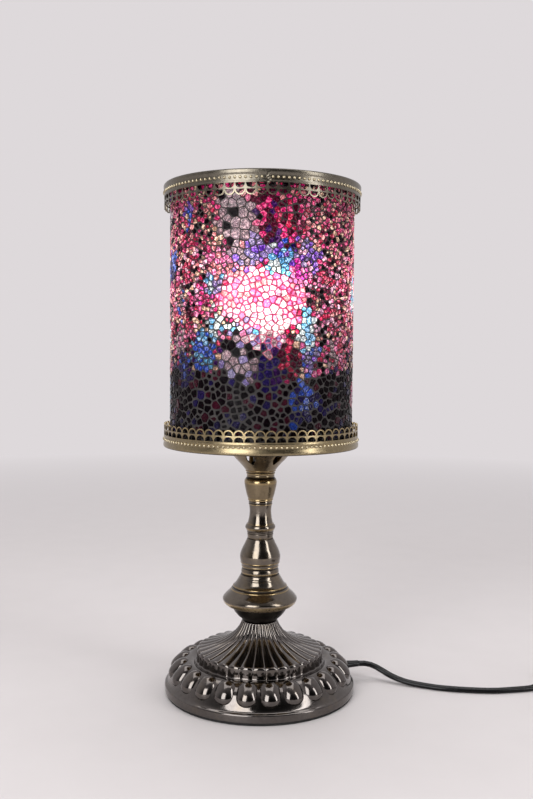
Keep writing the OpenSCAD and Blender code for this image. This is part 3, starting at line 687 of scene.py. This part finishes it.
def within(spot, ring):
    # is the spot inside the ring
    inside = False
    for (ax, ay), (bx, by) in zip(ring, ring[1:] + ring[:1]):
        if (ay > spot.y) != (by > spot.y) and spot.x < ax + (bx - ax) * (spot.y - ay) / (by - ay):
            inside = not inside
    return inside


def arch(half, foot, rise, steps):
    return [(half * math.cos(math.pi * k / steps), foot + rise * math.sin(math.pi * k / steps))
            for k in range(steps + 1)]


def laceCell():
    # one repeat of the lace, laid flat, upward from the band
    s = rimSet
    half = math.pi * s["face"] / s["cells"]

    def opening(foot, margin, deep, corner):
        wide = half - margin
        return [(wide, foot)] + arch(wide, foot + corner, deep, 12) + [(-wide, foot)]

    outline = [(half, 0)] + arch(half, s["archFoot"], s["archRise"], s["archSteps"]) + [(-half, 0)]
    upper = opening(*s["upperOpening"])
    lower = opening(*s["lowerOpening"])
    points = outline + upper + lower
    loops, start = [], 0
    for ring in (outline, upper, lower):
        loops.append(list(range(start, start + len(ring))))
        start += len(ring)
    flat, _, skin, _, _, _ = delaunay_2d_cdt([Vector(p) for p in points], [], loops, 1, 1e-5)
    skin = [f for f in skin if not any(within(sum((flat[v] for v in f), Vector((0, 0))) / len(f), hole)
                                       for hole in (upper, lower))]
    # the cut edges have walls, but not the sides and the foot, where the next cell and the band join on
    walls = [(ring[i], ring[(i + 1) % len(ring)]) for ring in loops for i in range(len(ring))
             if not (ring is loops[0] and i in (0, len(ring) - 2, len(ring) - 1))]
    return flat, skin, walls


def laceFringe(points, faces):
    s = rimSet
    flat, skin, walls = laceCell()
    count = len(flat)
    for n in range(s["cells"]):
        middle = 2 * math.pi * n / s["cells"]
        shell = []
        for r in (s["face"] - 0.05, s["face"] - s["thick"] + 0.05):
            shell += [fromFront(r, middle + p.x / s["face"], s["band"] - 0.1 + p.y) for p in flat]
        skins = [tuple(f) for f in skin] + [tuple(count + v for v in reversed(f)) for f in skin]
        skins += [(a, b, count + b, count + a) for a, b in walls]
        joinInto(points, faces, shell, skins)


def finishRim(piece, flip, lift):
    # the top rim is the bottom one upside down
    mesh = piece.data
    mendMesh(mesh, 0.00001)
    if flip:
        mesh.transform(Matrix.Scale(-1, 4, (0, 0, 1)))
        mesh.flip_normals()
    mesh.transform(Matrix.Translation((0, 0, lift * mm)))


def makeRim(name, bandMetal, fringeMetal, flip, lift, nodes):
    around = rimSet["around"]
    points, faces, marks = [], [], []
    outline = bandOutline()
    for radius, height in outline:
        points += [fromFront(radius, 2 * math.pi * k / around, height) for k in range(around)]
    for i in range(len(outline)):
        j = (i + 1) % len(outline)
        faces += between(i, j, around)
        dull = outline[i][1] < 0.5 and outline[j][1] < 0.75     # the flat side, away from the glass
        marks += [1 if dull else 0] * around
    beadRow(points, faces)
    marks += [2] * (len(faces) - len(marks))
    band = makePiece(name + "Band", points, faces, materials=[bandMetal, darkLine, beadMetal], marks=marks,
                     sharp=45)
    finishRim(band, flip, lift)
    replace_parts(band, nodes[0])
    points, faces = [], []
    laceFringe(points, faces)
    fringe = makePiece(name + "Lace", points, faces, materials=[fringeMetal], sharp=40)
    finishRim(fringe, flip, lift)
    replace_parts(fringe, nodes[1])


# where the top band's ends are soldered: a flat lap with a few lumps on it
seamSet = {
    "angle": 3.6,
    "across": [(-1.3, 0.10), (-1.15, 0.36), (0.9, 0.36), (1.2, 0.12)],      # along the band, proud of it
    "down": [0.9, 3.0, 5.2, 8.0],
    "lumps": 5, "lumpsFrom": 8.6, "lumpStep": 1.17, "lumpSpread": 2.4, "lumpSize": (0.8, 0.5),
}


def makeSeam():
    s = seamSet
    face, top, seam = rimSet["face"], rimSet["top"], math.radians(s["angle"])
    points, n = [], len(s["across"])
    for down in s["down"]:
        points += [fromFront(face + lift, seam + across / face, top - down) for across, lift in s["across"]]
    faces = [(i * n + k, i * n + k + 1, (i + 1) * n + k + 1, (i + 1) * n + k)
             for i in range(len(s["down"]) - 1) for k in range(n - 1)]
    for k in range(s["lumps"]):
        angle = seam + (chance.random() - 0.5) * s["lumpSpread"] / face
        middle = Vector(fromFront(face, angle, top - s["lumpsFrom"] + s["lumpStep"] * k))
        size = s["lumpSize"][0] + s["lumpSize"][1] * chance.random()
        ball = bmesh.new()
        bmesh.ops.create_icosphere(ball, subdivisions=3, radius=size)
        blob = [tuple(middle + v.co * (1 + 0.15 * math.sin(9 * v.co.x + 5 * v.co.z))) for v in ball.verts]
        joinInto(points, faces, blob, [[v.index for v in f.verts] for f in ball.faces])
        ball.free()
    seam = makePiece("topSeam", points, faces, materials=[topMetal])


makeRim("bottomRim", bottomMetal, bottomMetal, False, rimSet["bottom"], ("bottom_rim", "bottom_lace"))
makeRim("topRim", topMetal, laceMetal, True, rimSet["top"], ("top_rim", "top_lace"))
makeSeam()
print("rims made")


# mosaic: crackled glass chips set in grout on the glass cylinder
mosaicSet = {
    "inner": 60.78, "grout": 62.15, "edge": 62.5, "outer": 62.75,
    "low": 173.2, "high": 347.4,
    "blur": 2.4,                        # how far the colours of two patches mix at their border
    "paintedGlowMiddle": 282, "paintedGlowReach": 46,   # where the painted glow of the bulb on the glass is strongest, and how far it reaches
    "tries": 90000,                     # places tried for a chip's middle
    "gridStep": 2.4,
    "sizes": (0.55, 0.72),              # smallest share of the chip size, and the span above it
    "lineWidths": (0.7, 1.5),
    "smallest": 0.35,                   # a chip keeps this share of its cell
    "tilt": 0.07, "lift": 0.12,
    "softEdge": 0.12, "overlap": 0.04,  # how far the face is drawn in, and how far grout laps under a chip
    "groutWave": 0.08,
    "groutBorder": 260,                 # the grout is two pieces, above and below
    "backPatches": 52,
}
chipColours = {
    "mauve": (176, 146, 158), "lavender": (150, 132, 196), "burgundy": (92, 8, 44), "purple": (66, 14, 104),
    "magenta": (222, 22, 118), "crimson": (206, 16, 80), "salmon": (248, 132, 142), "rose": (255, 164, 202),
    "hotPink": (255, 104, 168), "blush": (255, 218, 232), "violet": (120, 58, 206), "sky": (92, 178, 250),
    "blue": (26, 84, 216), "indigo": (34, 16, 104), "plum": (22, 6, 17), "gold": (250, 184, 156),
    "fuchsia": (230, 34, 176), "ice": (206, 236, 250),
}
# angle from the front, height, half-widths of the patch, colours, chip size, half of a grout line
patches = [
    (-15, 319, 12, 16, "mauve mauve mauve mauve plum", 6.4, 0.28),
    (2, 326, 7, 16, "burgundy burgundy purple magenta", 3.2, 0.15),
    (3, 313, 6, 8, "purple purple burgundy", 3.2, 0.18),
    (18, 322, 11, 14, "magenta crimson burgundy", 3.6, 0.3),
    (13, 308, 8, 6, "violet indigo blue", 3.6, 0.26),
    (-3, 303, 6, 9, "violet lavender", 4, 0.26),
    (8, 297, 8, 8, "sky sky ice", 3.4, 0.24),
    (-13, 296, 8, 7, "violet lavender mauve", 4, 0.28),
    (22, 301, 9, 7, "lavender rose violet", 3.4, 0.3),
    (-24, 291, 8, 9, "hotPink salmon hotPink", 3.6, 0.28),
    (-29, 279, 5, 7, "sky lavender ice", 3.4, 0.3),
    (-35, 273, 6, 9, "fuchsia magenta", 3.2, 0.3),
    (24, 285, 7, 8, "fuchsia hotPink", 3.4, 0.26),
    (32, 294, 5, 7, "purple violet", 3.2, 0.3),
    # pale blush and rose patches at the front, at the bulb's height: partly the glass's own colour, partly a
    # painted highlight of the bulb seen through it
    (5, 261, 12, 9, "blush blush rose", 3.4, 0.22),
    (0, 270, 26, 17, "rose hotPink blush rose salmon", 3.6, 0.3),
    (10, 286, 16, 7, "rose blush hotPink", 3.5, 0.26),
    (-28, 254, 5, 8, "ice ice sky", 3.6, 0.26),
    (-12, 250, 13, 4, "ice sky lavender", 3.6, 0.24),
    (3, 247, 12, 5, "blush lavender mauve", 3.8, 0.22),
    (28, 252, 6, 13, "ice ice sky", 3.8, 0.24),
    (31, 232, 6, 10, "violet blue lavender", 3.6, 0.3),
    (17, 238, 6, 13, "burgundy crimson burgundy", 3.8, 0.28),
    (-37, 236, 8, 12, "blue sky blue", 3.4, 0.32),
    (-53, 222, 7, 8, "blue indigo", 3.4, 0.34),
    (5, 230, 9, 15, "indigo purple indigo", 4.6, 0.4),
    (-13, 231, 11, 15, "mauve mauve lavender plum", 5, 0.26),
    (25, 206, 9, 14, "blue indigo blue", 4.2, 0.36),
    (-48, 318, 4, 10, "violet crimson blue", 2.8, 0.32),
    (52, 235, 9, 12, "hotPink crimson mauve", 3.2, 0.32),
    (-57, 236, 7, 10, "mauve hotPink", 3.2, 0.32),
    (-57, 262, 5, 10, "blue salmon mauve", 2.8, 0.34),
]
patchMixes = ["crimson burgundy", "mauve plum", "blue indigo", "fuchsia magenta", "gold salmon",
              "violet purple", "sky ice", "hotPink crimson", "magenta purple"]
for extra in range(mosaicSet["backPatches"]):
    patches.append((70 + chance.random() * 220, 200 + chance.random() * 140, 5 + chance.random() * 9,
                    6 + chance.random() * 9, chance.choice(patchMixes), 3.2 + chance.random() * 1.6, 0.3))
# between the patches: up to this height, colours, chip size, half of a grout line
zones = [
    # the lowest zone's near-black chips are painted shade, below the bulb where its housing keeps the light
    # off the glass
    (222, "plum plum plum indigo burgundy plum", 4.6, 0.5),
    (246, "crimson magenta burgundy purple hotPink plum gold", 3.0, 0.36),
    (298, "crimson magenta hotPink salmon gold burgundy crimson plum rose", 2.7, 0.32),
    (360, "crimson magenta burgundy salmon magenta plum gold", 2.8, 0.34),
]


def patchAt(angle, height):
    angle = (angle + 180) % 360 - 180
    # a wave keeps the borders from being level
    height += 3.5 * math.sin(math.radians(3 * angle + 60)) + 2 * math.sin(math.radians(8 * angle))
    for middle, level, wide, tall, colours, size, line in patches:
        off = (angle - middle + 180) % 360 - 180
        if (off / wide) ** 2 + ((height - level) / tall) ** 2 < 1:
            return colours, size, line
    return next(zone[1:] for zone in zones if height < zone[0])


def crowded(grid, columns, girth, i, j, u, z, size):
    for a in range(i - 3, i + 4):
        for b in range(j - 3, j + 4):
            for v, w, other in grid.get((a % columns, b), ()):
                across = min(abs(u - v), girth - abs(u - v))
                if across * across + (z - w) ** 2 < (0.5 * (size + other)) ** 2:
                    return True
    return False


def scatterSeeds():
    # a place is kept for a chip where no other chip is too near; the grid only makes the search quick
    s = mosaicSet
    girth = 2 * math.pi * s["grout"]
    columns = int(girth / s["gridStep"])
    grid, seeds = {}, []
    for attempt in range(s["tries"]):
        u, z = chance.random() * girth, s["low"] + chance.random() * (s["high"] - s["low"])
        size = patchAt(math.degrees(u / s["grout"]), z)[1] * (s["sizes"][0] + s["sizes"][1] * chance.random())
        i, j = int(u / s["gridStep"]), int(z / s["gridStep"])
        if not crowded(grid, columns, girth, i, j, u, z, size):
            grid.setdefault((i % columns, j), []).append((u, z, size))
            seeds.append((u, z))
    return seeds, girth


def chipCells():
    # every seed's cell of the plane, on the shade laid flat; copies past each side close the cells there
    low, high, margin = mosaicSet["low"], mosaicSet["high"], 14
    seeds, girth = scatterSeeds()
    spots = list(seeds)
    spots += [(u + girth, z) for u, z in seeds if u < margin]
    spots += [(u - girth, z) for u, z in seeds if u > girth - margin]
    spots += [(u, 2 * low - z) for u, z in spots if z < low + margin]
    spots += [(u, 2 * high - z) for u, z in spots if high - margin < z < high]
    flat, _, triangles, _, _, _ = delaunay_2d_cdt([Vector(spot) for spot in spots], [], [], 0, 1e-7)
    centres, fans = [], {}      # middles of the circles round the triangles, and which of them each seed has
    for a, b, c in triangles:
        pa, pb, pc = flat[a], flat[b], flat[c]
        d = 2 * (pa.x * (pb.y - pc.y) + pb.x * (pc.y - pa.y) + pc.x * (pa.y - pb.y))
        if abs(d) < 1e-9:
            continue
        qa, qb, qc = pa.length_squared, pb.length_squared, pc.length_squared
        centres.append(Vector(((qa * (pb.y - pc.y) + qb * (pc.y - pa.y) + qc * (pa.y - pb.y)) / d,
                               (qa * (pc.x - pb.x) + qb * (pa.x - pc.x) + qc * (pb.x - pa.x)) / d)))
        for v in (a, b, c):
            fans.setdefault(v, []).append(len(centres) - 1)
    cells = []
    for v in range(len(seeds)):
        seed = flat[v]
        ring = sorted((centres[k] for k in fans[v]), key=lambda p: math.atan2(p.y - seed.y, p.x - seed.x))
        tidy = [p for k, p in enumerate(ring) if (p - ring[k - 1]).length > 0.12]
        if len(tidy) > 2:
            cells.append(tidy)
    return cells


def onCylinder(p, radius):
    return fromFront(radius, p.x / mosaicSet["grout"], p.y)


def makeMosaic(finishes, groutFinish, paintedCrackGlowFinish):
    s = mosaicSet
    chips = {name: ([], []) for name in chipColours}
    groutBelow, groutAbove, crack = ([], []), ([], []), ([], [])
    for ring in chipCells():
        n = len(ring)
        middle = sum(ring, Vector((0, 0))) / n
        colours, _, line = patchAt(math.degrees(middle.x / s["grout"]) + chance.uniform(-1, 1) * s["blur"],
                                   middle.y + 1.5 * chance.uniform(-1, 1) * s["blur"])
        inner = min(abs((b - a).cross(middle - a)) / max((b - a).length, 1e-6)
                    for a, b in zip(ring, ring[1:] + ring[:1]))     # from the middle to the nearest side
        shrink = max(s["smallest"], 1 - line * chance.uniform(*s["lineWidths"]) / max(inner, 0.2))
        chip = [middle + (p - middle) * shrink for p in ring]
        hole = [middle + (p - middle) * (shrink - s["overlap"]) for p in ring]
        top = [middle + (p - middle) * shrink * (1 - s["softEdge"] / max(inner, 0.8)) for p in ring]
        tilt = Vector((chance.uniform(-s["tilt"], s["tilt"]), chance.uniform(-s["tilt"], s["tilt"])))
        lift = chance.uniform(-s["lift"], s["lift"])
        rings = [onCylinder(p, s["inner"]) for p in chip]
        rings += [onCylinder(p, s["edge"] + lift + (p - middle).dot(tilt)) for p in chip]
        rings += [onCylinder(p, s["outer"] + lift + (p - middle).dot(tilt)) for p in top]
        skin = [tuple(range(n - 1, -1, -1)), tuple(range(2 * n, 3 * n))] + between(0, 1, n) + between(1, 2, n)
        joinInto(*chips[chance.choice(colours.split())], rings, skin)
        front = s["grout"] + chance.uniform(-s["groutWave"], s["groutWave"])
        back = s["inner"] + 0.05
        rim = [onCylinder(p, s["grout"]) for p in ring] + [onCylinder(p, front) for p in hole]
        rim += [onCylinder(p, back) for p in hole] + [onCylinder(p, back) for p in ring]
        grout = groutBelow if middle.y < s["groutBorder"] else groutAbove
        # the grout between blush chips takes the painted crack glow
        joinInto(*(crack if "blush" in colours else grout), rim,
                 between(0, 1, n) + between(1, 2, n) + between(2, 3, n))
    lines = {"groutBelow": (groutBelow, groutFinish), "groutAbove": (groutAbove, groutFinish),
             "crackLines": (crack, paintedCrackGlowFinish)}
    made = [makePiece("chips" + name[0].upper() + name[1:], points, faces, materials=[finishes[name]],
                      sharp=12) for name, (points, faces) in chips.items() if points]
    made += [makePiece(name, points, faces, materials=[finish], sharp=60)
             for name, ((points, faces), finish) in lines.items()]
    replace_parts(made[0], "mosaic_layer")


glassSet = {
    "through": 0.82,
    "ior": (1.1, 0.37), "gloss": (0.02, 0.2),   # of black glass, and what the brightest adds to it
    "rough": (0.08, 0.26),
    # painted glow: the chips emit light that stands in for the bulb's light coming through them, with painted
    # glints of the tone below
    "paintedGlow": 2.0,
    "paintedGlintTone": (150, 130, 120),
}


def chipGlass(name, base):
    finish, tree, shader = startFinish(name)
    s = glassSet
    bright = max(base) / 255
    crackle = addNode(tree, "ShaderNodeTexVoronoi", {"Vector": place(tree), "Scale": 520},
                      feature="DISTANCE_TO_EDGE").outputs["Distance"]
    tone = blendColour(tree, spread(tree, cloud(tree, 130, 4, 0.7), 0.3, 0.7), [c * 0.62 for c in base],
                       [min(255, c * 1.12 + 8) for c in base])
    tone = blendColour(tree, spread(tree, crackle, 0.0, 0.1, 0.45, 0.0), tone, [c * 0.45 for c in base])
    # painted light of the bulb: the chips emit a glow, strongest at the bulb's height, and mostly in painted
    # glints
    height = addNode(tree, "ShaderNodeSeparateXYZ", {0: place(tree)}).outputs["Z"]
    away = maths(tree, "DIVIDE", maths(tree, "SUBTRACT", height, mosaicSet["paintedGlowMiddle"] * mm),
                 mosaicSet["paintedGlowReach"] * mm)
    paintedGlow = maths(tree, "POWER", 2.718, maths(tree, "MULTIPLY", maths(tree, "MULTIPLY", away, away), -1.0))
    paintedGlint = spread(tree, cloud(tree, 640, 3, 0.6), 0.51, 0.61)
    paintedGlow = maths(tree, "MULTIPLY", paintedGlow, spread(tree, paintedGlint, 0.0, 1.0, 0.08, 1.0))
    paintedGlintColour = blendColour(tree, paintedGlint, tone,
                       [min(255, c * 0.45 + w * bright) for c, w in zip(base, s["paintedGlintTone"])])
    feed(tree, shader, {
        "Base Color": tone,
        "Transmission Weight": s["through"],
        "IOR": s["ior"][0] + s["ior"][1] * bright,
        "Specular IOR Level": s["gloss"][0] + s["gloss"][1] * bright,
        "Roughness": uneven(tree, 420, 4, *s["rough"]),
        "Emission Color": blendColour(tree, paintedGlow, (0, 0, 0), paintedGlintColour),
        "Emission Strength": s["paintedGlow"],
    })
    relief(tree, shader, maths(tree, "ADD", crackle, cloud(tree, 240, 5)), 0.0004, 0.4)
    return finish


def groutPaste():
    finish, tree, shader = startFinish("groutPaste")
    tone = blendColour(tree, uneven(tree, 300, 5), (24, 21, 21), (58, 54, 53))
    feed(tree, shader, {"Base Color": tone, "Roughness": 0.75})
    relief(tree, shader, cloud(tree, 1300, 4), 0.00015)
    return finish


# grout lines in the blush patches: crimson and emitting, a painted glow of the bulb's light through the
# cracks
def paintedCrackGlow():
    finish, tree, shader = startFinish("paintedCrackGlow")
    tone = blendColour(tree, spread(tree, cloud(tree, 260, 4), 0.35, 0.65), (132, 14, 56), (206, 62, 112))
    feed(tree, shader, {"Base Color": tone, "Roughness": 0.4,
                        "Emission Color": tone, "Emission Strength": 0.55})
    relief(tree, shader, cloud(tree, 1200, 3), 0.0001)
    return finish


chipFinishes = {name: chipGlass(name + "Glass", base) for name, base in chipColours.items()}
makeMosaic(chipFinishes, groutPaste(), paintedCrackGlow())
print("mosaic set")


# clear glass of the cylinder and the lit dome of the bulb
def clearGlass():
    finish, tree, shader = startFinish("clearGlass")
    tone = blendColour(tree, uneven(tree, 40, 3), (240, 245, 244), (250, 252, 251))
    feed(tree, shader, {"Base Color": tone, "Transmission Weight": 1.0, "IOR": 1.45,
                        "Roughness": uneven(tree, 90, 3, 0.02, 0.07)})
    relief(tree, shader, cloud(tree, 60, 2), 0.0001, 0.3)
    return finish


def litDome():
    finish, tree, shader = startFinish("litDome")
    tone = blendColour(tree, uneven(tree, 160, 4), (255, 236, 214), (255, 246, 232))
    feed(tree, shader, {"Base Color": tone, "Emission Color": tone, "Emission Strength": 5.5,
                        "Roughness": uneven(tree, 300, 3, 0.35, 0.5)})
    return finish


# frame nodes that keep their shape
keptShapes = [
    (zincSteel, "tube_washer tube_nut threaded_tube plate_nut terminal_screws switch_screws"),
    (capMetal, "bulb_contact bulb_cap plug_pins"),
    (copperMetal, "screw_shell centre_contact switch_contacts"),
    (holderPlastic, "holder_cap holder_sleeve"),
    (footPad, "base_pad"), (castIron, "ballast_ring"), (bronze, "shade_plate"),
    (clearGlass(), "glass_cylinder"), (litDome(), "bulb_dome"), (porcelain, "holder_insert"),
    (brownSleeve, "live_lead"), (blueSleeve, "neutral_lead"), (cordPlastic, "inner_cable"),
    (blackPlastic, "bulb_insulator"), (bulbWhite, "bulb_housing"), (boardGreen, "driver_board"),
    (boardWhite, "led_board"),
]
for finish, nodes in keptShapes:
    for node in nodes.split():
        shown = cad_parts[node]
        shown.data.materials.clear()
        shown.data.materials.append(finish)
print("frame nodes finished")


# floor, light and backdrop
stageSet = {
    "backdrop": (222, 217, 219),
    "floor": (203, 198, 198),
    "reach": 30, "sides": 48,
    "fade": (0.5, 1.5),             # how far out the floor turns into the backdrop
    "aim": (0, 0, 0.17),            # where the lights point
    "sky": (236, 232, 234),
    "skyTurn": (-0.85, 0.25),       # the sky's light rises from the front to the back
    "skyLight": (0.03, 0.8),
    "key": {"place": (-0.50, -1.00, 0.62), "size": (0.62, 1.1), "power": 13},
    "strip": {"place": (0.92, -0.55, 0.60), "size": (0.22, 1.1), "power": 5.5},
    "top": {"place": (0.0, 0.25, 1.5), "size": (1.4, 1.4), "power": 12},
}


def makeStage():
    s = stageSet
    mesh = bpy.data.meshes.new("floor")
    turns = [2 * math.pi * k / s["sides"] for k in range(s["sides"])]
    mesh.from_pydata([(s["reach"] * math.cos(a), s["reach"] * math.sin(a), 0) for a in turns], [],
                     [tuple(range(s["sides"]))])
    floor = intoScene("floor", mesh)
    finish, tree, shader = startFinish("paper")
    tone = blendColour(tree, uneven(tree, 30, 3), s["floor"], [c - 2 for c in s["floor"]])
    feed(tree, shader, {"Base Color": tone, "Roughness": 0.55})
    far = addNode(tree, "ShaderNodeVectorMath", {0: place(tree)}, operation="LENGTH").outputs["Value"]
    plain = addNode(tree, "ShaderNodeEmission", {"Color": colour(s["backdrop"]), "Strength": 1.0})
    both = addNode(tree, "ShaderNodeMixShader", {0: spread(tree, far, *s["fade"]), 1: shader.outputs[0],
                                                 2: plain.outputs[0]})
    feed(tree, tree.nodes["Material Output"], {"Surface": both.outputs[0]})
    mesh.materials.append(finish)
    for name in ("key", "strip", "top"):
        light = bpy.data.lights.new(name, "AREA")
        light.shape = "RECTANGLE"
        light.size, light.size_y = s[name]["size"]
        light.energy = s[name]["power"]
        lamp = intoScene(name, light)
        lamp.location = s[name]["place"]
        aim = Vector(s["aim"]) - lamp.location
        lamp.rotation_euler = aim.to_track_quat("-Z", "Y").to_euler()


def makeSky():
    # light comes mostly from behind; straight into the camera the sky is plain
    s = stageSet
    world = bpy.context.scene.world or bpy.data.worlds.new("studio")
    bpy.context.scene.world = world
    world.use_nodes = True
    tree = world.node_tree
    tree.nodes.clear()
    way = addNode(tree, "ShaderNodeTexCoord").outputs["Generated"]
    parts = addNode(tree, "ShaderNodeSeparateXYZ", {0: way})
    rise = spread(tree, parts.outputs["Y"], *s["skyTurn"], *s["skyLight"])
    rise.node.interpolation_type = "SMOOTHSTEP"
    dim = addNode(tree, "ShaderNodeBackground", {"Color": colour(s["sky"]), "Strength": rise})
    plain = addNode(tree, "ShaderNodeBackground", {"Color": colour(s["backdrop"]), "Strength": 1.0})
    seen = addNode(tree, "ShaderNodeLightPath").outputs["Is Camera Ray"]
    both = addNode(tree, "ShaderNodeMixShader", {0: seen, 1: dim.outputs[0], 2: plain.outputs[0]})
    addNode(tree, "ShaderNodeOutputWorld", {"Surface": both.outputs[0]})
    bpy.context.scene.view_settings.view_transform = "Standard"


makeStage()
makeSky()
print("stage set")
